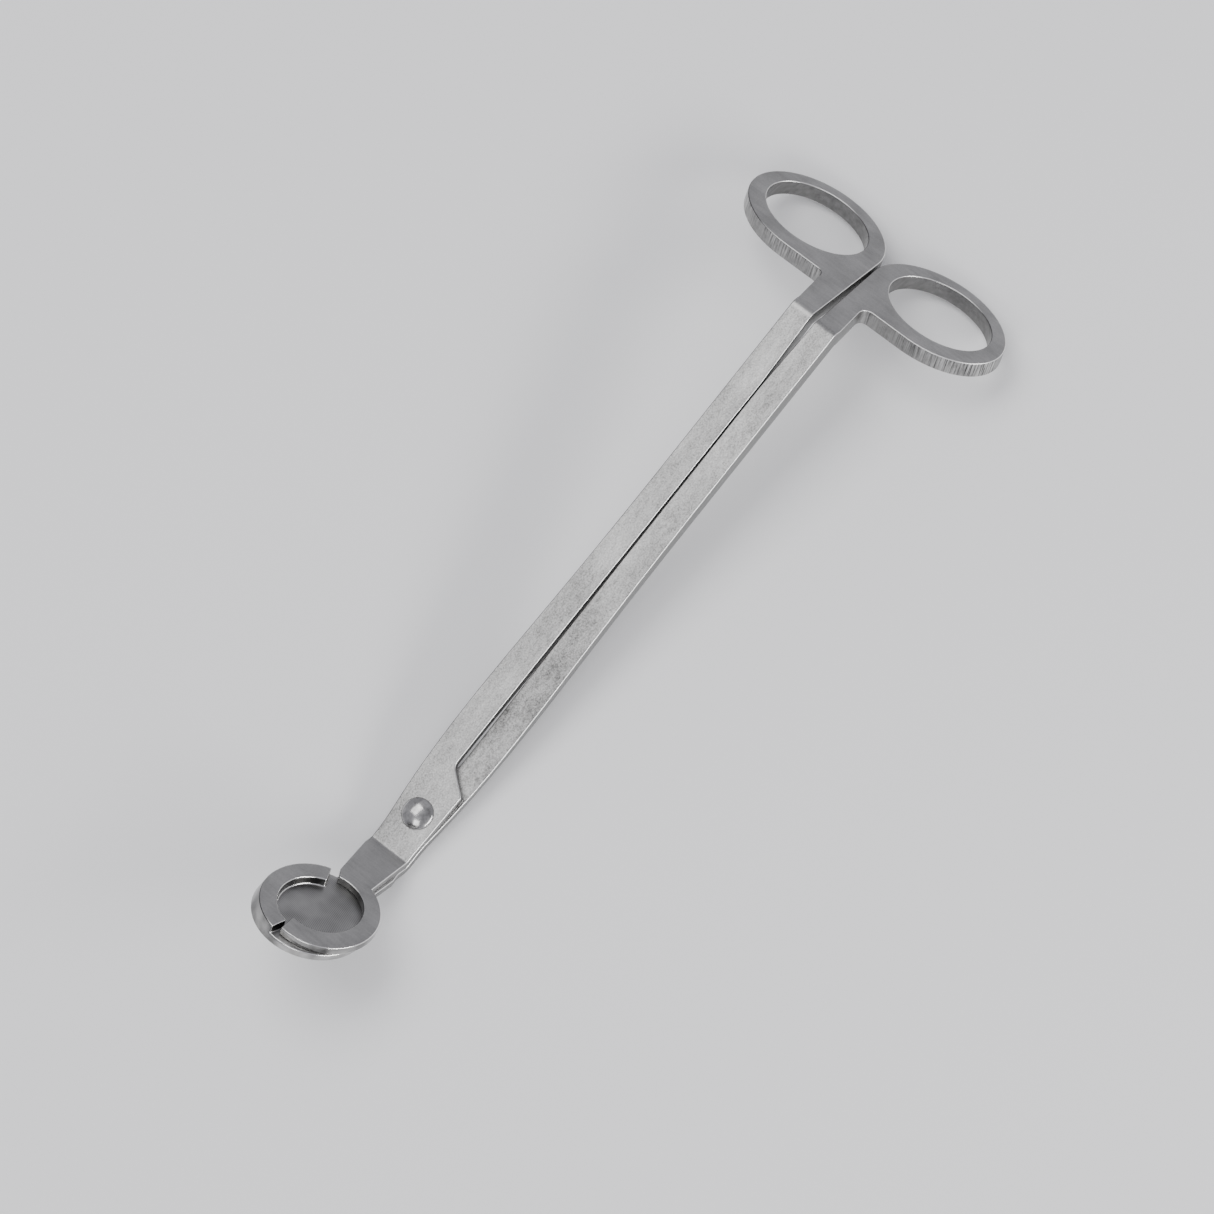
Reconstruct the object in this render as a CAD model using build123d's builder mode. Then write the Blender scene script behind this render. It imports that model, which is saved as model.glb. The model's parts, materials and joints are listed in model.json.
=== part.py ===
from build123d import *
from math import asin, atan2, cos, degrees, hypot, radians, sin, tan
import os

# A scissor-type candle wick trimmer in stainless steel. Two bent bars cross at a rivet.
# The blade arm carries a hook blade, and the tray arm carries a round tray with a half rim.
# Millimetres. +Z is up from the table that the trimmer rests on, +X runs from the pivot to the
# finger loops, +Y is the blade arm's side, and the origin is on the table at mid length.

# ---- driving dimensions ----
bar_thickness = 3.6  # both arms and both finger loops
lap_gap = 0.06  # running gap between the two arms where they lap
bend_angle = 42.0  # the head turns up by this, and the loops turn down by it
neck_bend_radius = 1.0  # on the top face, inside the bend
loop_bend_radius = 2.4  # on the top face, outside the bend
loop_bend_inner_radius = 0.6

neck_bend_x = 8.6  # pivot to the neck bend, on the top faces
blade_loop_bend_x = 120.3  # pivot to the blade arm's loop bend
tray_loop_bend_x = 119.4  # pivot to the tray arm's loop bend
bend_straight = 1.9  # the edges run straight for this far on each side of a bend
neck_outer_y = 4.4  # centre line to an arm's outer edge, at the neck bend
pivot_outer_y = 4.9  # the same at the pivot
arm_outer_y = 5.6  # the same well along the arm
loop_outer_y = 5.45  # the same at the loop bend
arm_outer_x = 50.0  # where that is
arm_gap = 0.24  # between the two arms when the loops meet
arm_lean = 1.3  # both arms have swung this far to the tray arm's side at their loop bends
stem_gap = 0.5  # each stem stands this much further from the other at its loop bend

boss_shoulder = (7.3, 4.9)  # outer corner of the pivot boss
boss_root_x = 11.4  # where the boss steps in to the arm
boss_shoulder_radius = 1.0
boss_root_radius = 2.2
stem_gap_x = 104.0  # the arms start to part here
lap_flat_x = 15.0  # end of the full half lap
lap_half_x = 44.0  # half of the lap's depth is left here
lap_run_out_x = 100.0  # where the lap has ramped back to full thickness

tray_centre = (22.8, -0.8)  # reach from the neck bend towards the tip, and side
tray_radius = 11.1  # at the rim's top
tray_foot_centre = (22.8, 0.1)  # the underside is set a little to the left
tray_foot_radius = 11.3
wall_draft = 4.0  # slope of the rim's inner wall, in degrees
rim_inner_radius = 7.5
rim_first_angle = 11.0
rim_last_angle = 155.0

blade_centre = (21.5, -1.2)
blade_radius = 11.2
blade_hole_centre = (20.9, -0.7)
blade_hole_radius = 7.8
blade_heel = (11.4, 2.75)  # the neck's corner at the top notch
blade_throat = (13.7, 1.4)  # the same corner at the cutting edge
blade_tip = (33.5, 0.0)
neck_root = (10.5, -4.6)  # where the neck's right edge meets the blade's curve

tray_neck_left = 2.6
tray_neck_right = -4.9
tray_neck_run = 4.0  # the right edge has widened by here
relief_start = (-3.0, 0.1)  # ground-off underside of the blade's neck: where the slope starts
relief_end = (14.0, 1.7)
relief_width = 5.0
relief_depth = 1.0

loop_near = 11.25  # the loop's near side, from the loop bend
loop_length = 21.4  # along the arm
loop_width = 30.2  # across the arm
loop_hole_centre = (22.6, 15.6)
loop_hole_length = 15.8
loop_hole_width = 22.4
crotch_radius = 1.6

rivet_shank_radius = 2.0
rivet_running_clearance = 0.05
rivet_head_gap = 0.03
rivet_head_radius = 3.15
rivet_head_rim = 0.25
rivet_head_height = 1.5
rivet_tail_radius = 2.9
rivet_tail_rim = 0.15
rivet_tail_height = 0.6

# ---- derived dimensions ----
lap_depth = bar_thickness / 2
blade_depth = lap_depth - lap_gap / 2  # underside of the blade, below the top face
plate_depth = lap_depth + lap_gap / 2  # top of the tray's plate, below the top face
half_bend = radians(bend_angle) / 2
bend_cos = cos(2 * half_bend)
bend_sin = sin(2 * half_bend)
neck_under_radius = neck_bend_radius + bar_thickness
draft_slope = tan(radians(wall_draft))
dome_rise = rivet_head_height - rivet_head_gap - rivet_head_rim
dome_radius = (rivet_head_radius**2 + dome_rise**2) / (2 * dome_rise)
dome_angle = degrees(asin(rivet_head_radius / dome_radius))
tail_dome_rise = rivet_tail_height - rivet_tail_rim
tail_dome_radius = (rivet_tail_radius**2 + tail_dome_rise**2) / (2 * tail_dome_rise)
tail_dome_angle = degrees(asin(rivet_tail_radius / tail_dome_radius))
run = 40.0  # longer than the head and than the loops
reach = 50.0  # wider than half of the whole trimmer
cut_margin = 1.0  # cuts run this far past what they take away

# The trimmer rests on the underside of its neck bend and on the toe of the tray arm's loop.
heel_x = -neck_bend_x + (neck_under_radius - bar_thickness) * tan(half_bend)
heel_z = neck_under_radius - bar_thickness
loop_far = loop_near + loop_length
toe_x = tray_loop_bend_x + loop_far * bend_cos - bar_thickness * bend_sin
toe_z = -loop_far * bend_sin - bar_thickness * bend_cos
toe_distance = hypot(toe_x - heel_x, toe_z - heel_z)
arm_rise = -asin(neck_under_radius / toe_distance) - atan2(toe_z - heel_z, toe_x - heel_x)
pivot_height = neck_under_radius - heel_x * sin(arm_rise) - heel_z * cos(arm_rise)

# The origin is half way between the tray's tip and the far end of the blade arm's loop.
tip_reach = tray_foot_centre[0] + tray_foot_radius
tip_x = -neck_bend_x - tip_reach * bend_cos - bar_thickness * bend_sin
tip_z = tip_reach * bend_sin - bar_thickness * bend_cos
far_x = blade_loop_bend_x + loop_far * bend_cos
far_z = -loop_far * bend_sin
pivot_x = ((tip_z + far_z) * sin(arm_rise) - (tip_x + far_x) * cos(arm_rise)) / 2

# ---- planes ----
ARMS = Plane(
    origin=(pivot_x, 0, pivot_height),
    x_dir=(cos(arm_rise), 0, sin(arm_rise)),
    z_dir=(-sin(arm_rise), 0, cos(arm_rise)),
)
SIDE = Plane(origin=ARMS.origin, x_dir=ARMS.x_dir, z_dir=-ARMS.y_dir)


def bent_plane(bend_x):
    """The top face beyond the bend at bend_x: its x runs on towards the loops, its y to the left."""
    hinge = ARMS.from_local_coords(Vector(bend_x, 0, 0))
    return Plane(origin=hinge, x_dir=ARMS.x_dir, z_dir=ARMS.z_dir).rotated((0, bend_angle, 0))


HEAD = bent_plane(-neck_bend_x)
BLADE_LOOP = bent_plane(blade_loop_bend_x)
TRAY_LOOP = bent_plane(tray_loop_bend_x)


def on_head(point):
    """A (reach, side) point in the head plane's own x and y."""
    return (-point[0], point[1])


def rim_point(angle, radius):
    """A point around the tray's centre: the angle runs from the tip towards the left side."""
    turn = radians(angle)
    return on_head((tray_centre[0] + radius * cos(turn), tray_centre[1] + radius * sin(turn)))


TRAY_FLOOR = Plane(
    origin=HEAD.from_local_coords(Vector(*on_head(tray_centre), -plate_depth)),
    x_dir=HEAD.x_dir,
    z_dir=HEAD.z_dir,
)
relief_from = HEAD.from_local_coords(Vector(*on_head(relief_start), -blade_depth))
relief_to = HEAD.from_local_coords(Vector(*on_head(relief_end), -blade_depth))
relief_length = (relief_to - relief_from).length
relief_run = (relief_to - relief_from).normalized()
RELIEF = Plane(origin=relief_to, x_dir=relief_run.cross(HEAD.z_dir), z_dir=relief_run * -1)


def round_off(outline, corner, radius):
    """Rounds the one corner of a sketch that stands at a point."""
    fillet(outline.vertices().sort_by_distance(corner)[0], radius)


def head_end(depth):
    """The far end of the head's side profile, at a depth below its top face."""
    x = -neck_bend_x - run * bend_cos - depth * bend_sin
    return (x, run * bend_sin - depth * bend_cos)


def neck_corner(depth):
    """The neck bend's corner in the side profile, at a depth below the top face."""
    return (-neck_bend_x - depth * tan(half_bend), -depth)


def loop_corner(bend_x, depth):
    """The loop bend's corner in the side profile, at a depth below the top face."""
    return (bend_x - depth * tan(half_bend), -depth)


def loop_end(bend_x, depth):
    """The far end of the loop's side profile, at a depth below its top face."""
    x = bend_x + run * bend_cos - depth * bend_sin
    return (x, -run * bend_sin - depth * bend_cos)


def arm_side(lap_top, lap_under, bend_x):
    """Side profile corners of the long stretch, whose lap lies between two depths."""
    return [
        neck_corner(lap_top),
        (lap_flat_x, -lap_top),
        (lap_half_x, -lap_top / 2),
        (lap_run_out_x, 0),
        loop_corner(bend_x, 0),
        loop_corner(bend_x, bar_thickness),
        (lap_run_out_x, -bar_thickness),
        (lap_half_x, -(bar_thickness + lap_under) / 2),
        (lap_flat_x, -lap_under),
        neck_corner(lap_under),
    ]


def arm_outline(bend_x, lean):
    """The plan of an arm from the neck bend to the loop bend, with its boss on the far side."""
    inner_y = arm_gap / 2
    bend_inner_y = inner_y + stem_gap + lean
    bend_outer_y = loop_outer_y + lean
    with BuildSketch() as outline:
        with BuildLine():
            outer = Spline(
                (-neck_bend_x + bend_straight, neck_outer_y),
                (0, pivot_outer_y),
                (arm_outer_x, arm_outer_y + lean * arm_outer_x / bend_x),
                (bend_x - bend_straight, bend_outer_y),
                tangents=((1, 0), (1, lean / bend_x)),
            )
            Polyline(
                outer @ 1,
                (bend_x + bend_straight, bend_outer_y),
                (bend_x + bend_straight, bend_inner_y),
                (bend_x - bend_straight, bend_inner_y),
                (stem_gap_x, inner_y + lean * stem_gap_x / bend_x),
                (boss_root_x, inner_y),
                (boss_shoulder[0], -boss_shoulder[1]),
                (-neck_bend_x + bend_straight, -neck_outer_y),
                (-neck_bend_x - bend_straight, -neck_outer_y),
                (-neck_bend_x - bend_straight, neck_outer_y),
                outer @ 0,
            )
        make_face()
        round_off(outline, (boss_root_x, inner_y), boss_root_radius)
        round_off(outline, (boss_shoulder[0], -boss_shoulder[1]), boss_shoulder_radius)
    return outline.sketch


def loop_outline(lean):
    """The plan of a finger loop on the left side, with its stem from the loop bend."""
    inner_y = arm_gap / 2
    bend_inner_y = inner_y + stem_gap + lean
    bend_outer_y = loop_outer_y + lean
    middle = (loop_near + loop_length / 2, inner_y + loop_width / 2)
    with BuildSketch() as outline:
        with BuildLine():
            Polyline(
                (-bend_straight, bend_inner_y),
                (bend_straight, bend_inner_y),
                (middle[0], inner_y),
                middle,
                (loop_near, middle[1]),
                (loop_near, loop_outer_y),
                (bend_straight, bend_outer_y),
                (-bend_straight, bend_outer_y),
                close=True,
            )
        make_face()
        round_off(outline, (loop_near, loop_outer_y), crotch_radius)
        with Locations(middle):
            Ellipse(loop_length / 2, loop_width / 2)
        with Locations(loop_hole_centre):
            Ellipse(loop_hole_length / 2, loop_hole_width / 2, mode=Mode.SUBTRACT)
    return outline.sketch


def blade_outline():
    """The plan of the blade arm's neck and hook blade."""
    with BuildSketch() as outline:
        with BuildLine():
            Polyline(
                (bend_straight, neck_outer_y),
                (-bend_straight, neck_outer_y),
                on_head(blade_heel),
                on_head(blade_centre),
                on_head(neck_root),
                (-bend_straight, -neck_outer_y),
                (bend_straight, -neck_outer_y),
                close=True,
            )
        make_face()
        with Locations(on_head(blade_centre)):
            Circle(blade_radius)
        with BuildLine():
            Polyline(
                on_head(blade_heel),
                on_head(blade_throat),
                on_head(blade_tip),
                (-run, blade_tip[1]),
                (-run, reach),
                (-bend_straight, reach),
                (-bend_straight, neck_outer_y),
                close=True,
            )
        make_face(mode=Mode.SUBTRACT)
        with Locations(on_head(blade_hole_centre)):
            Circle(blade_hole_radius, mode=Mode.SUBTRACT)
    return outline.sketch


def tray_neck_outline():
    """The plan of the tray arm's neck, which runs on under the plate."""
    with BuildSketch() as outline:
        with BuildLine():
            Polyline(
                (bend_straight, tray_neck_left),
                (-tray_centre[0], tray_neck_left),
                (-tray_centre[0], tray_neck_right),
                (-tray_neck_run, tray_neck_right),
                (-bend_straight, -neck_outer_y),
                (bend_straight, -neck_outer_y),
                close=True,
            )
        make_face()
    return outline.sketch


def tray_boss_outline():
    """The plan of the tray arm, with its boss cut back to the width of the tray's neck."""
    with BuildSketch() as outline:
        add(mirror(arm_outline(tray_loop_bend_x, arm_lean), about=Plane.XZ))
        with BuildLine():
            Polyline(
                (-neck_bend_x + bend_straight, tray_neck_left),
                (-rivet_tail_radius, pivot_outer_y),
                (-rivet_tail_radius, reach),
                (-reach, reach),
                (-reach, tray_neck_left),
                close=True,
            )
        make_face(mode=Mode.SUBTRACT)
    return outline.sketch


def cut_bar(side_corners, plane, outline):
    """A flat stretch of bar between two bends: its side profile, cut to its plan outline."""
    with BuildPart() as stretch:
        with BuildSketch(SIDE):
            with BuildLine():
                Polyline(*side_corners, close=True)
            make_face()
        extrude(amount=reach, both=True)
        with BuildSketch(plane):
            add(outline)
        extrude(amount=bar_thickness * 2, both=True, mode=Mode.INTERSECT)
    return stretch.part


def bent_bar(lap_top, lap_under, bend_x, arm_plan, head_plan, loop_plane, loop_plan):
    """A whole arm: neck and head, long stretch and finger loop, with its bends rounded."""
    head_side = [neck_corner(lap_top), neck_corner(lap_under), head_end(lap_under), head_end(lap_top)]
    loop_side = [
        loop_corner(bend_x, 0),
        loop_end(bend_x, 0),
        loop_end(bend_x, bar_thickness),
        loop_corner(bend_x, bar_thickness),
    ]
    middle = cut_bar(arm_side(lap_top, lap_under, bend_x), ARMS, arm_plan)
    head = cut_bar(head_side, HEAD, head_plan)
    loop = cut_bar(loop_side, loop_plane, loop_plan)
    with BuildPart() as bar:
        add(middle)
        add(head)
        add(loop)
        round_bend(bar, neck_corner(lap_top), neck_bend_radius)
        round_bend(bar, neck_corner(lap_under), neck_bend_radius + lap_under)
        round_bend(bar, loop_corner(bend_x, 0), loop_bend_radius)
        round_bend(bar, loop_corner(bend_x, bar_thickness), loop_bend_inner_radius)
    return bar.part


def round_bend(bar, corner, radius):
    """Rounds the crosswise edge of a bar that stands at a corner of its side profile."""
    place = SIDE.from_local_coords(Vector(corner[0], corner[1], 0))
    crosswise = bar.edges().filter_by(Axis.Y)
    fillet(crosswise.sort_by_distance(place)[0], radius)


# ---- blade arm: top layer of the lap, left finger loop, hook blade ----
blade_bar = bent_bar(
    0,
    blade_depth,
    blade_loop_bend_x,
    arm_outline(blade_loop_bend_x, -arm_lean),
    blade_outline(),
    BLADE_LOOP,
    loop_outline(-arm_lean),
)
with BuildPart() as blade_arm:
    add(blade_bar)
    with Locations(ARMS):
        Hole(rivet_shank_radius + rivet_running_clearance)
    with BuildSketch(RELIEF):
        with BuildLine():
            Polyline(
                (0, 0),
                (relief_width, relief_depth),
                (relief_width, -relief_depth),
                (0, -relief_depth),
                close=True,
            )
        make_face()
    extrude(amount=relief_length, mode=Mode.SUBTRACT)

blade_arm.part.label = "blade_arm"


# ---- tray arm: bottom layer of the lap, right finger loop, plate with its half rim ----
tray_bar = bent_bar(
    plate_depth,
    bar_thickness,
    tray_loop_bend_x,
    tray_boss_outline(),
    tray_neck_outline(),
    TRAY_LOOP,
    mirror(loop_outline(arm_lean), about=Plane.XZ),
)
with BuildPart() as tray_arm:
    add(tray_bar)
    with BuildSketch(HEAD.offset(-bar_thickness)):
        with Locations(on_head(tray_foot_centre)):
            Circle(tray_foot_radius)
    with BuildSketch(HEAD):
        with Locations(on_head(tray_centre)):
            Circle(tray_radius)
    loft()
    with BuildSketch(HEAD):
        with Locations(on_head(tray_centre)):
            Circle(tray_radius + cut_margin)
            Circle(rim_inner_radius, mode=Mode.SUBTRACT)
        with BuildLine():
            Polyline(
                rim_point(rim_first_angle, rim_inner_radius / 2),
                rim_point(rim_first_angle, reach),
                rim_point((rim_first_angle + rim_last_angle) / 2, reach * 2),
                rim_point(rim_last_angle, reach),
                rim_point(rim_last_angle, rim_inner_radius / 2),
                close=True,
            )
        make_face(mode=Mode.SUBTRACT)
    extrude(amount=-plate_depth, mode=Mode.SUBTRACT)
    with Locations(TRAY_FLOOR):
        Cone(
            rim_inner_radius,
            rim_inner_radius + plate_depth * draft_slope,
            plate_depth,
            align=(Align.CENTER, Align.CENTER, Align.MIN),
            mode=Mode.SUBTRACT,
        )
    with Locations(ARMS):
        Hole(rivet_shank_radius)

tray_arm.part.label = "tray_arm"


# ---- pivot rivet: domed head over the blade arm, peened tail under the tray arm ----
with BuildPart() as pivot_rivet:
    with BuildSketch(SIDE):
        with BuildLine():
            head = CenterArc(
                (0, rivet_head_height - dome_radius), dome_radius, 90 - dome_angle, dome_angle
            )
            tail = CenterArc(
                (0, tail_dome_radius - bar_thickness - rivet_tail_height),
                tail_dome_radius,
                -90,
                tail_dome_angle,
            )
            Polyline(
                head @ 0,
                (rivet_head_radius, rivet_head_gap),
                (rivet_shank_radius, rivet_head_gap),
                (rivet_shank_radius, -bar_thickness),
                (rivet_tail_radius, -bar_thickness),
                tail @ 1,
            )
            Line(tail @ 0, head @ 1)
        make_face()
    revolve(axis=Axis(ARMS.origin, ARMS.z_dir))

pivot_rivet.part.label = "pivot_rivet"


os.makedirs("parts", exist_ok=True)
export_step(blade_arm.part, "parts/blade_arm.step")
export_step(tray_arm.part, "parts/tray_arm.step")
export_step(pivot_rivet.part, "parts/pivot_rivet.step")
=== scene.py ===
import json
import math
from types import SimpleNamespace

import bpy
from mathutils import Matrix, Vector

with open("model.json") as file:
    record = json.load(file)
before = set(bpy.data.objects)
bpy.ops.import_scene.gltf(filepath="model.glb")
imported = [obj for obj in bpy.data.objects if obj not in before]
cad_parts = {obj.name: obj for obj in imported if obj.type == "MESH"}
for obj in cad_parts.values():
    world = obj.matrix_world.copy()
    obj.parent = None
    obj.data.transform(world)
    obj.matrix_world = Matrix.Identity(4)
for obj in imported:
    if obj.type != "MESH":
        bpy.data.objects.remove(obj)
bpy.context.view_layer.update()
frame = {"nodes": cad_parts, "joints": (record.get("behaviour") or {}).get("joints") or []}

# ---- the trimmer's own frame, in metres: X from pivot to loops, Z out of the arms' top face ----
HINGE = frame["joints"][0]
PIVOT = Vector(HINGE["pos_m"])
ARM_Z = Vector(HINGE["axis"]).normalized()
ARM_Y = Vector((0, 1, 0))
ARM_X = ARM_Y.cross(ARM_Z)
ARM_AXES = (ARM_X, ARM_Y, ARM_Z)

# ---- the head and the loops are bent out of that frame by the same angle ----
BEND = math.radians(42)
BENT_X = ARM_X * math.cos(BEND) - ARM_Z * math.sin(BEND)
BENT_Z = ARM_X * math.sin(BEND) + ARM_Z * math.cos(BEND)
BENT_AXES = (BENT_X, ARM_Y, BENT_Z)
NECK_X = -0.0086
LOOP_X = 0.1199
NECK = PIVOT + ARM_X * NECK_X
LOOP_BEND = PIVOT + ARM_X * LOOP_X

# ---- zones of an arm: where a tone starts and where it is full ----
NECK_CHANGE = (NECK_X - 0.0008, NECK_X + 0.0004)
LOOP_CHANGE = (LOOP_X + 0.0006, LOOP_X - 0.0012)
LOOP_ZONE = (LOOP_X + 0.004, LOOP_X + 0.010)
HEAD_ZONE = (NECK_X - 0.004, NECK_X - 0.010)
LAP_ZONE = (0.046, 0.016)
LOOP_HOLE_REACH = 0.0226
LOOP_HOLE_SIDE = 0.0156
LOOP_HOLE_HALF = (0.0079, 0.0112)
HOLE_WALL_BAND = (1.25, 1.12)
TRAY_FLOOR_MIDDLE = NECK - BENT_X * 0.0217 - ARM_Y * 0.0007
TRAY_FLOOR_EDGE = (0.0096, 0.0090)
TRAY_FLOOR_DEPTH = (-0.00172, -0.00178)
TURNING_MIDDLE = NECK - BENT_X * 0.044 + ARM_Y * 0.006
TURNING_LINES = 17500.0

# ---- tones ----
ARM_TONE = 0.33
BENT_TONE = 0.40
WALL_TONE = 0.27
# painted shade on the walls inside the loop holes and inside the tray
HOLE_WALL_PAINTED_SHADE = 0.20
TRAY_WALL_PAINTED_SHADE = 0.09
TRAY_FLOOR_TONE = 0.34
# painted highlight on broken edges that face the front light (-Y), painted shade on those that face
# away (+Y)
NEAR_EDGE_PAINTED_HIGHLIGHT = 0.85
FAR_EDGE_PAINTED_SHADE = 0.12
DARKEST = 0.06
WARM_GREEN = 0.992
WARM_BLUE = 0.975
# painted shade on the top face of the tray arm's lap, next to the pivot
TRAY_LAP_PAINTED_SHADE = 0.22
RIVET_LINES = 26000.0

# ---- edges and mesh clean-up ----
EDGE_BREAK = 0.00026
RIVET_EDGE_BREAK = EDGE_BREAK * 0.5
EDGE_STEPS = 2
SHARP_EDGE = math.radians(32)
FLAT_ANGLE = math.radians(0.4)
WELD_GAP = 0.000002
NORMAL_WEIGHT = 90

# ---- studio ----
FLOOR_SIZE = 3.0
FLOOR_COLOR = (0.93, 0.93, 0.93, 1.0)
FLOOR_ROUGHNESS = 0.75
SKY_COLOR = (0.93, 0.93, 1.0, 1.0)
SKY_STRENGTH = 0.55
LIGHT_TARGET = PIVOT + ARM_X * 0.055

# ---- camera: its axes and place in the trimmer's own frame ----
CAMERA_RIGHT = Vector((0.6155, -0.7585, -0.2147))
CAMERA_AWAY = Vector((-0.0559, -0.3138, 0.9479)).normalized()
CAMERA_PLACE = Vector((-0.05263, -0.59475, 1.78348))
LENS = 296.5
SENSOR_WIDTH = 36.0
CLIP_END = 20.0


class Surface:
    """A procedural material, built from object coordinates in metres."""

    def __init__(self, name, metallic):
        self.material = bpy.data.materials.new(name)
        self.material.use_nodes = True
        self.tree = self.material.node_tree
        self.tree.nodes.clear()
        self.output = self.add("ShaderNodeOutputMaterial")
        self.shader = self.add("ShaderNodeBsdfPrincipled")
        self.shader.inputs["Metallic"].default_value = metallic
        self.link(self.shader.outputs["BSDF"], self.output.inputs["Surface"])
        self.place = self.add("ShaderNodeTexCoord").outputs["Object"]

    def add(self, kind, **settings):
        node = self.tree.nodes.new(kind)
        for key, value in settings.items():
            setattr(node, key, value)
        return node

    def link(self, source, target):
        self.tree.links.new(source, target)

    def feed(self, node, slot, value):
        """Links a socket to an input, or sets the input to a plain value."""
        if isinstance(value, bpy.types.NodeSocket):
            self.link(value, node.inputs[slot])
        else:
            node.inputs[slot].default_value = value

    def math(self, operation, a, b=0.0, c=0.0, clamp=False):
        node = self.add("ShaderNodeMath", operation=operation, use_clamp=clamp)
        self.feed(node, 0, a)
        self.feed(node, 1, b)
        self.feed(node, 2, c)
        return node.outputs[0]

    def times(self, a, b):
        return self.math("MULTIPLY", a, b)

    def total(self, *terms):
        result = terms[0]
        for term in terms[1:]:
            result = self.math("ADD", result, term)
        return result

    def minus(self, place):
        node = self.add("ShaderNodeVectorMath", operation="SUBTRACT")
        self.link(self.place, node.inputs[0])
        node.inputs[1].default_value = place
        return node.outputs["Vector"]

    def dot(self, vector, direction):
        node = self.add("ShaderNodeVectorMath", operation="DOT_PRODUCT")
        self.link(vector, node.inputs[0])
        node.inputs[1].default_value = direction
        return node.outputs["Value"]

    def around(self, place, axis):
        """Distance from a line through place along axis."""
        cross = self.add("ShaderNodeVectorMath", operation="CROSS_PRODUCT")
        self.link(self.minus(place), cross.inputs[0])
        cross.inputs[1].default_value = axis
        length = self.add("ShaderNodeVectorMath", operation="LENGTH")
        self.link(cross.outputs["Vector"], length.inputs[0])
        return length.outputs["Value"]

    def stretched(self, axes, scales, seed):
        """Coordinates along three axes, each with its own scale, for grain with a direction."""
        out = self.add("ShaderNodeCombineXYZ")
        offset = self.minus(PIVOT)
        for slot, (axis, scale) in enumerate(zip(axes, scales)):
            along = self.math("MULTIPLY_ADD", self.dot(offset, axis), scale, seed)
            self.link(along, out.inputs[slot])
        return out.outputs["Vector"]

    def noise(self, place, scale, detail, roughness):
        node = self.add("ShaderNodeTexNoise")
        self.link(place, node.inputs["Vector"])
        node.inputs["Scale"].default_value = scale
        node.inputs["Detail"].default_value = detail
        node.inputs["Roughness"].default_value = roughness
        return node.outputs["Fac"]

    def grain(self, axes, scales, seed, detail, roughness):
        """Noise with its own number of cycles per metre along each of three axes."""
        return self.noise(self.stretched(axes, scales, seed), 1.0, detail, roughness)

    def ramp(self, value, low, high, out_low=0.0, out_high=1.0):
        node = self.add("ShaderNodeMapRange", clamp=True)
        self.feed(node, "Value", value)
        node.inputs["From Min"].default_value = low
        node.inputs["From Max"].default_value = high
        node.inputs["To Min"].default_value = out_low
        node.inputs["To Max"].default_value = out_high
        return node.outputs["Result"]

    def blend(self, factor, a, b):
        node = self.add("ShaderNodeMix", data_type="FLOAT")
        self.feed(node, 0, factor)
        self.feed(node, 2, a)
        self.feed(node, 3, b)
        return node.outputs[0]

    def bump(self, height, strength, distance, normal=None):
        node = self.add("ShaderNodeBump")
        node.inputs["Strength"].default_value = strength
        node.inputs["Distance"].default_value = distance
        self.link(height, node.inputs["Height"])
        if normal is not None:
            self.link(normal, node.inputs["Normal"])
        return node.outputs["Normal"]

    def finish(self, color, roughness, normal):
        self.feed(self.shader, "Base Color", color)
        self.feed(self.shader, "Roughness", roughness)
        self.link(normal, self.shader.inputs["Normal"])
        return self.material


def warm_gray(s, tone):
    """A steel gray that is a touch warm."""
    color = s.add("ShaderNodeCombineColor")
    s.link(tone, color.inputs[0])
    s.link(s.times(tone, WARM_GREEN), color.inputs[1])
    s.link(s.times(tone, WARM_BLUE), color.inputs[2])
    return color.outputs[0]


# ---- satin steel: the two arms ----
def arm_zones(s):
    """Masks from 0 to 1 for the zones of an arm. A flat face looks straight out of its stretch."""
    x = s.dot(s.minus(PIVOT), ARM_X)
    facing = s.add("ShaderNodeNewGeometry").outputs["Normal"]
    zone = SimpleNamespace(facing=facing)
    zone.on_arm = s.times(s.ramp(x, *NECK_CHANGE), s.ramp(x, *LOOP_CHANGE))
    up_arm = s.math("ABSOLUTE", s.dot(facing, ARM_Z))
    up_bent = s.math("ABSOLUTE", s.dot(facing, BENT_Z))
    lift = s.blend(zone.on_arm, up_bent, up_arm)
    zone.flat = s.ramp(lift, 0.80, 0.94)
    zone.on_edge = s.times(s.ramp(lift, 0.20, 0.40), s.ramp(lift, 0.93, 0.86))
    zone.at_loops = s.ramp(x, *LOOP_ZONE)
    zone.at_head = s.ramp(x, *HEAD_ZONE)
    zone.on_lap = s.times(s.ramp(x, *LAP_ZONE), s.ramp(s.dot(facing, ARM_Z), 0.0, 0.3))
    zone.in_hole = s.times(loop_hole(s), zone.at_loops)
    near_middle = s.ramp(s.around(TRAY_FLOOR_MIDDLE, BENT_Z), *TRAY_FLOOR_EDGE)
    zone.in_tray = s.times(near_middle, zone.at_head)
    zone.on_floor = s.times(near_middle, s.ramp(s.dot(s.minus(NECK), BENT_Z), *TRAY_FLOOR_DEPTH))
    return zone


def loop_hole(s):
    """A mask for what lies within the oval of a finger loop's hole, on either arm."""
    from_bend = s.minus(LOOP_BEND)
    reach = s.math("SUBTRACT", s.dot(from_bend, BENT_X), LOOP_HOLE_REACH)
    side = s.math("SUBTRACT", s.math("ABSOLUTE", s.dot(from_bend, ARM_Y)), LOOP_HOLE_SIDE)
    along = s.math("DIVIDE", reach, LOOP_HOLE_HALF[0])
    across = s.math("DIVIDE", side, LOOP_HOLE_HALF[1])
    return s.ramp(s.math("ADD", s.times(along, along), s.times(across, across)), *HOLE_WALL_BAND)


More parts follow.
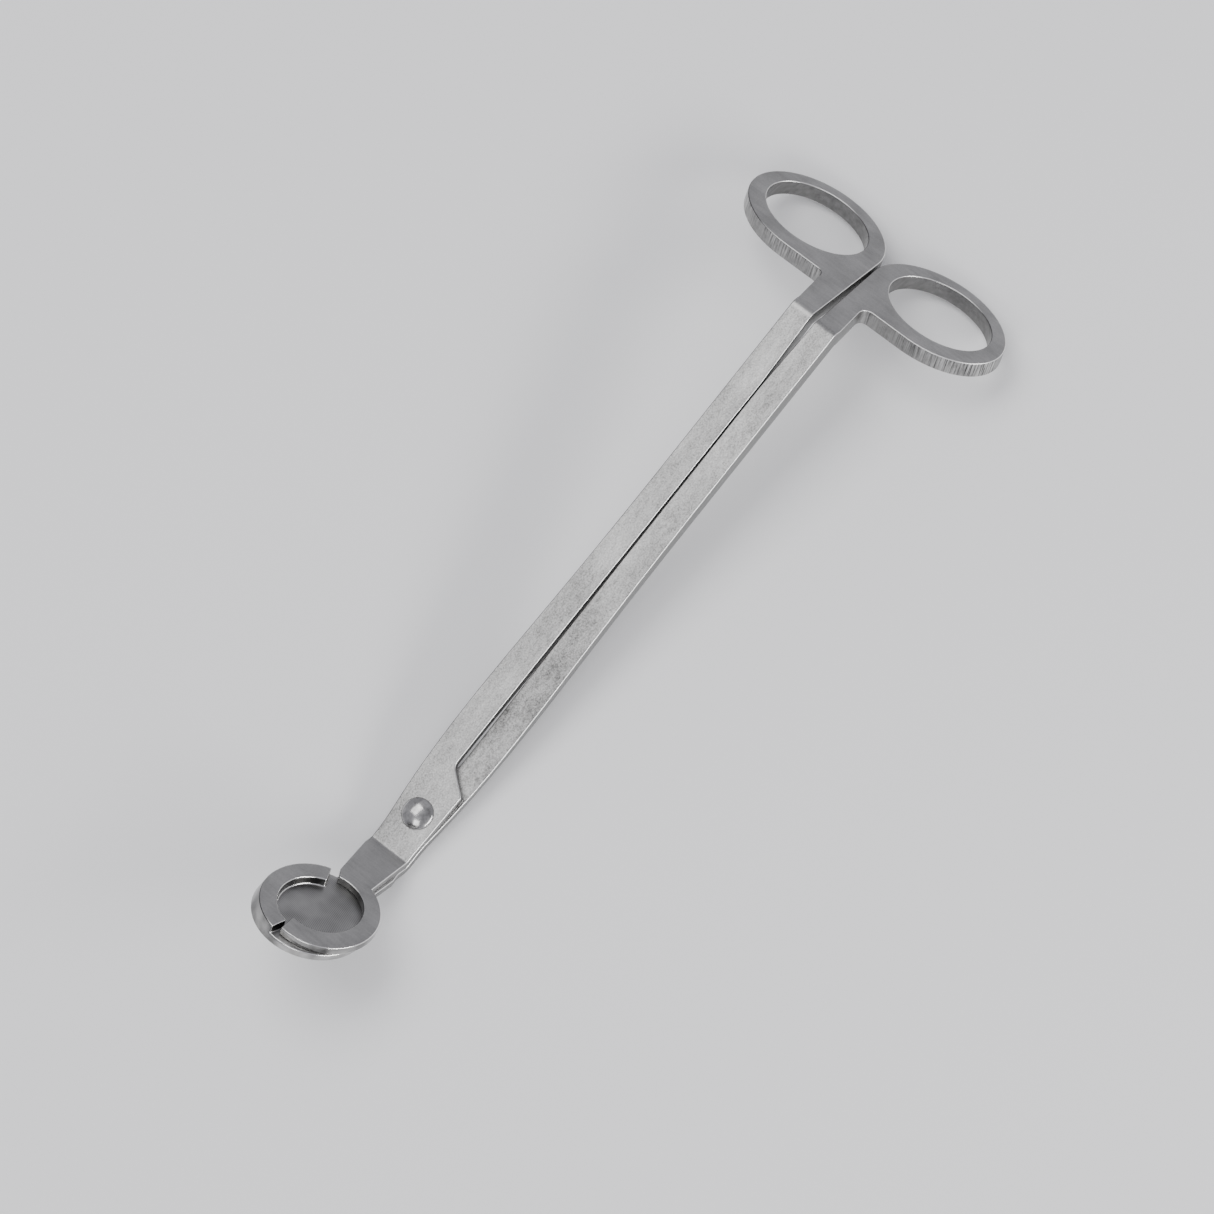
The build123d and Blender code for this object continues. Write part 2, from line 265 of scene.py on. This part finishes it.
def steel_grains(s, seed):
    """The marks that grinding, filing and use leave. The scales are cycles per metre."""
    return SimpleNamespace(
        grit=s.grain(ARM_AXES, (3100, 3100, 3100), seed, 3.0, 0.65),
        sand=s.grain(ARM_AXES, (620, 1150, 1150), seed, 4.0, 0.65),
        cloud=s.grain(ARM_AXES, (70, 170, 170), seed, 3.0, 0.5),
        drawn=s.grain(ARM_AXES, (45, 900, 1400), seed, 3.0, 0.6),
        cross=s.grain(BENT_AXES, (1500, 160, 700), seed, 3.0, 0.6),
        filed=s.grain(BENT_AXES, (3000, 3000, 150), seed, 3.0, 0.7),
        worn=s.grain(BENT_AXES, (150, 150, 150), seed, 2.0, 0.5),
    )


def turning_lines(s, seed):
    """The fine arcs that a turning tool leaves on the tray's floor."""
    waver = s.times(s.grain(BENT_AXES, (60, 60, 60), seed, 1.0, 0.5), 9.0)
    reach = s.around(TURNING_MIDDLE, BENT_Z)
    return s.math("SINE", s.math("MULTIPLY_ADD", reach, TURNING_LINES, waver))


def flat_tone(s, zone, marks, lines, lap_painted_shade):
    """Sandy arms, smoother bent ends, and the tray's floor."""
    # painted shade, patchy, on the top face of the tray arm's lap
    shade = s.ramp(marks.cloud, 0.36, 0.60, -lap_painted_shade, -lap_painted_shade * 0.35)
    arm = s.total(
        s.ramp(marks.grit, 0.34, 0.66, -0.11, 0.11),
        s.ramp(marks.sand, 0.32, 0.68, -0.09, 0.09),
        s.ramp(marks.cloud, 0.32, 0.68, -0.08, 0.08),
        s.times(zone.on_lap, shade),
        ARM_TONE,
    )
    bent = s.total(
        s.ramp(marks.grit, 0.30, 0.70, -0.035, 0.035),
        s.ramp(marks.cross, 0.30, 0.70, -0.035, 0.035),
        s.ramp(marks.worn, 0.32, 0.68, -0.05, 0.05),
        BENT_TONE,
    )
    floor = s.total(s.times(lines, 0.07), s.ramp(marks.worn, 0.3, 0.7, -0.09, 0.06), TRAY_FLOOR_TONE)
    return s.blend(zone.on_floor, s.blend(zone.on_arm, bent, arm), floor)


def wall_tone(s, zone, marks, file_depth):
    """Side walls: plain on the arms, filed round the loops, and darkened with painted shade inside the
    holes and the tray.
    """
    filed = s.math("MULTIPLY_ADD", s.ramp(marks.filed, 0.34, 0.66, -0.30, 0.42), file_depth, WALL_TONE)
    return s.total(
        # painted shade darkens the walls inside the tray and inside the loop holes
        s.math("MULTIPLY_ADD", zone.in_tray, TRAY_WALL_PAINTED_SHADE - WALL_TONE, filed),
        s.times(zone.in_hole, HOLE_WALL_PAINTED_SHADE - WALL_TONE),
        s.ramp(marks.drawn, 0.30, 0.70, -0.04, 0.04),
        s.times(s.ramp(marks.worn, 0.35, 0.65, -0.16, 0.22), zone.at_head),
    )


def satin_roughness(s, zone, marks):
    wall = s.blend(zone.at_head, s.ramp(marks.worn, 0.35, 0.65, 0.27, 0.36), 0.17)
    flat = s.total(s.blend(zone.on_arm, 0.34, 0.40), s.ramp(marks.sand, 0.3, 0.7, -0.06, 0.06))
    return s.blend(zone.flat, wall, flat)


def satin_relief(s, zone, marks, lines, file_depth):
    """The small heights of the same marks, as a bumped normal."""
    flat = s.total(s.times(marks.grit, s.blend(zone.on_arm, 0.35, 1.0)), s.times(marks.cross, 0.35))
    filing = s.times(marks.filed, s.math("MULTIPLY_ADD", file_depth, 1.6, 0.15))
    wall = s.total(filing, s.times(marks.drawn, 0.4))
    normal = s.bump(s.blend(zone.flat, wall, flat), 0.55, 0.00004)
    normal = s.bump(s.times(lines, zone.on_floor), 0.2, 0.00002, normal)
    return s.bump(marks.cloud, 0.25, 0.00012, normal)


def satin_steel(name, seed, lap_painted_shade):
    """Ground bar, whose broken edges carry painted light: a painted highlight where an edge faces the
    front light and painted shade where it faces away.
    """
    s = Surface(name, 1.0)
    zone = arm_zones(s)
    marks = steel_grains(s, seed)
    lines = turning_lines(s, seed)
    outside = s.math("SUBTRACT", zone.at_loops, zone.in_hole)
    file_depth = s.times(outside, s.ramp(marks.worn, 0.42, 0.56, 0.25, 1.0))
    walls = wall_tone(s, zone, marks, file_depth)
    flats = flat_tone(s, zone, marks, lines, lap_painted_shade)
    tone = s.math("MAXIMUM", s.blend(zone.flat, walls, flats), DARKEST, clamp=True)
    # painted light on the broken edges: a highlight where they face -Y, shade where they face +Y
    painted_edge_light = s.ramp(s.dot(zone.facing, ARM_Y), -0.25, 0.25, NEAR_EDGE_PAINTED_HIGHLIGHT, FAR_EDGE_PAINTED_SHADE)
    color = warm_gray(s, s.blend(zone.on_edge, tone, painted_edge_light))
    relief = satin_relief(s, zone, marks, lines, file_depth)
    return s.finish(color, satin_roughness(s, zone, marks), relief)


# ---- polished steel: the rivet ----
def polished_steel(name):
    """A turned and polished dome with faint rings, small pits and a smeared polish."""
    s = Surface(name, 1.0)
    rings = s.math("SINE", s.times(s.around(PIVOT, ARM_Z), RIVET_LINES))
    pits = s.noise(s.place, 2600, 2.0, 0.5)
    smear = s.noise(s.place, 420, 3.0, 0.6)
    tone = s.ramp(smear, 0.34, 0.66, 0.26, 0.60)
    rough = s.ramp(smear, 0.3, 0.7, 0.12, 0.24)
    relief = s.bump(s.math("MULTIPLY_ADD", rings, 0.12, pits), 0.10, 0.00006)
    return s.finish(warm_gray(s, tone), rough, relief)


def finish_piece(name, material, edge_break):
    """Gives a CAD piece its material, broken edges and smooth shading on its curves."""
    piece = frame["nodes"][name]
    if not piece.data.materials:
        piece.data.materials.append(material)
    for index in range(len(piece.data.materials)):
        piece.data.materials[index] = material
    piece.modifiers.new("weld", "WELD").merge_threshold = WELD_GAP
    flatten = piece.modifiers.new("flatten", "DECIMATE")
    flatten.decimate_type = "DISSOLVE"
    flatten.angle_limit = FLAT_ANGLE
    bevel = piece.modifiers.new("edge_break", "BEVEL")
    bevel.width = edge_break
    bevel.segments = EDGE_STEPS
    bevel.limit_method = "ANGLE"
    bevel.angle_limit = SHARP_EDGE
    bevel.use_clamp_overlap = False
    piece.modifiers.new("close_up", "WELD").merge_threshold = WELD_GAP
    piece.modifiers.new("shade", "WEIGHTED_NORMAL").weight = NORMAL_WEIGHT


finish_piece("blade_arm", satin_steel("satin_steel_blade", 13.0, 0.0), EDGE_BREAK)
finish_piece("tray_arm", satin_steel("satin_steel_tray", 47.0, TRAY_LAP_PAINTED_SHADE), EDGE_BREAK)
finish_piece("pivot_rivet", polished_steel("polished_steel"), RIVET_EDGE_BREAK)


# ---- stage: pale floor, soft studio light ----
def pale_floor():
    """A floor that is clear from below, so that the trimmer's underside can be seen."""
    bpy.ops.mesh.primitive_plane_add(size=FLOOR_SIZE, location=(0, 0, 0))
    floor = bpy.context.object
    floor.name = "floor"
    s = Surface("floor_paper", 0.0)
    paper = s.noise(s.place, 900, 3.0, 0.5)
    s.finish(FLOOR_COLOR, FLOOR_ROUGHNESS, s.bump(paper, 0.03, 0.0001))
    sided = s.add("ShaderNodeMixShader")
    s.link(s.add("ShaderNodeNewGeometry").outputs["Backfacing"], sided.inputs[0])
    s.link(s.shader.outputs["BSDF"], sided.inputs[1])
    s.link(s.add("ShaderNodeBsdfTransparent").outputs["BSDF"], sided.inputs[2])
    s.link(sided.outputs["Shader"], s.output.inputs["Surface"])
    floor.data.materials.append(s.material)


def softbox(name, azimuth, elevation, distance, size, power):
    """A rectangular area light that faces the middle of the trimmer."""
    az = math.radians(azimuth)
    el = math.radians(elevation)
    toward = Vector((math.sin(az) * math.cos(el), -math.cos(az) * math.cos(el), math.sin(el)))
    data = bpy.data.lights.new(name, "AREA")
    data.shape = "RECTANGLE"
    data.size = size[0]
    data.size_y = size[1]
    data.energy = power
    lamp = bpy.data.objects.new(name, data)
    lamp.location = LIGHT_TARGET + toward * distance
    lamp.rotation_euler = toward.to_track_quat("Z", "Y").to_euler()
    bpy.context.scene.collection.objects.link(lamp)


def sky():
    world = bpy.data.worlds.new("studio")
    world.use_nodes = True
    background = world.node_tree.nodes["Background"]
    background.inputs["Color"].default_value = SKY_COLOR
    background.inputs["Strength"].default_value = SKY_STRENGTH
    bpy.context.scene.world = world


def photo_camera():
    """The camera at the photograph's viewing angle."""
    right = (CAMERA_RIGHT - CAMERA_AWAY * CAMERA_RIGHT.dot(CAMERA_AWAY)).normalized()
    up = CAMERA_AWAY.cross(right)
    to_world = Matrix(ARM_AXES).transposed()
    turn = to_world @ Matrix((right, up, CAMERA_AWAY)).transposed()
    data = bpy.data.cameras.new("camera")
    data.sensor_width = SENSOR_WIDTH
    data.lens = LENS
    data.clip_end = CLIP_END
    camera = bpy.data.objects.new("camera", data)
    camera.matrix_world = Matrix.Translation(PIVOT + to_world @ CAMERA_PLACE) @ turn.to_4x4()
    bpy.context.scene.collection.objects.link(camera)
    bpy.context.scene.camera = camera


pale_floor()
softbox("overhead", azimuth=170, elevation=66, distance=1.0, size=(0.9, 0.6), power=5.0)
softbox("front", azimuth=0, elevation=22, distance=0.9, size=(0.9, 0.14), power=6.0)
softbox("side", azimuth=-75, elevation=40, distance=1.2, size=(0.5, 0.5), power=3.0)
sky()
photo_camera()
